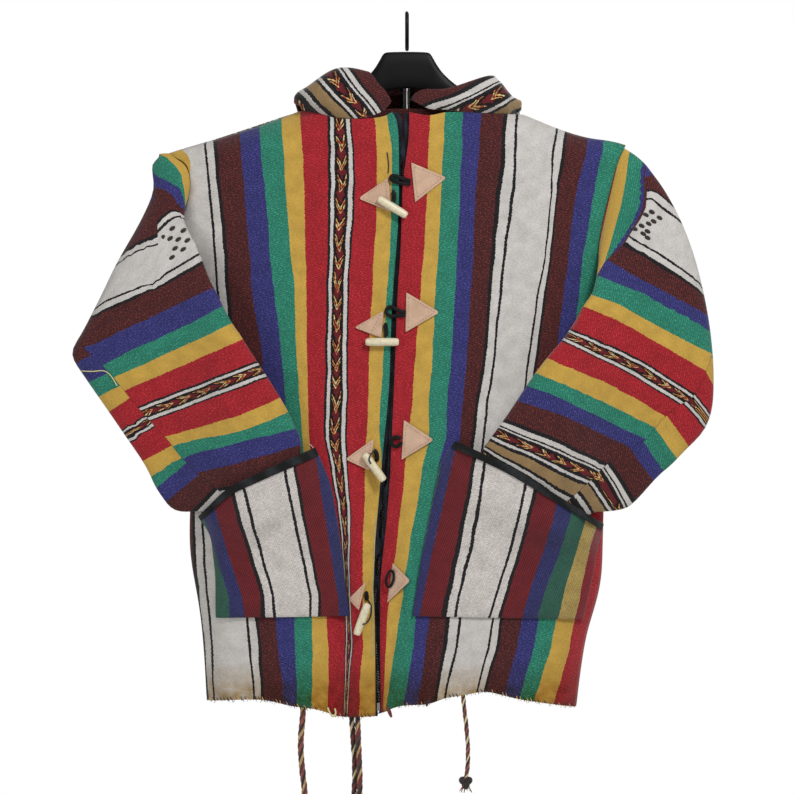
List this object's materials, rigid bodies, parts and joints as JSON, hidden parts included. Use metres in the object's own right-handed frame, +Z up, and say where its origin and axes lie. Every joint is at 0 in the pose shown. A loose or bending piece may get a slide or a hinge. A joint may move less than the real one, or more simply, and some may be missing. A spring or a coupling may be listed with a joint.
{
  "type": "jacket and hanger",
  "caption": "Hooded jacket of coarse striped wool, undone, with cuffs tucked into its patch pockets, toggles and suede triangles, on a clothes hanger.",
  "frame": {"origin": "the point at the top of the inside of the hanger's hook, where it hangs on a rail", "axes": "+Z up along the hanging jacket, its front faces -Y, +X to the right of someone facing its front"},
  "size_m": [0.804, 0.1801, 1.0052],
  "materials": {
    "striped_wool": "coarse weft-faced wool, serape stripes along the body's length",
    "striped_wool_sleeves": "the same cloth, stripes across the sleeve",
    "suede": "tan suede, matt",
    "bone": "cream, bone-like, satin",
    "black_braid": "black woven tape",
    "black_cord": "thin black braided cord",
    "twisted_yarn": "twisted wool yarn in black, dark red and cream",
    "black_plastic": "moulded black plastic, satin"
  },
  "bodies": {
    "root": {"back": "striped_wool", "binding_left": "black_braid", "binding_right": "black_braid", "front_left": "striped_wool", "front_right": "striped_wool", "hanger_bar": "black_plastic", "hanger_hook": "black_plastic", "hem_cord_1": "twisted_yarn", "hem_cord_2": "twisted_yarn", "hem_cord_3": "twisted_yarn", "hem_cord_4": "twisted_yarn", "hood_left": "striped_wool", "hood_right": "striped_wool", "loop_cord_1": "black_cord", "loop_cord_2": "black_cord", "loop_cord_3": "black_cord", "loop_cord_4": "black_cord", "patch_left_1": "suede", "patch_left_2": "suede", "patch_left_3": "suede", "patch_left_4": "suede", "patch_right_1": "suede", "patch_right_2": "suede", "patch_right_3": "suede", "patch_right_4": "suede", "pocket_left": "striped_wool", "pocket_right": "striped_wool", "sleeve_left": "striped_wool_sleeves", "sleeve_right": "striped_wool_sleeves", "toggle_1": "bone", "toggle_2": "bone", "toggle_3": "bone", "toggle_4": "bone", "toggle_cord_1": "black_cord", "toggle_cord_2": "black_cord", "toggle_cord_3": "black_cord", "toggle_cord_4": "black_cord", "zip_tape_left": "black_braid", "zip_tape_right": "black_braid"}
  },
  "joints": []
}
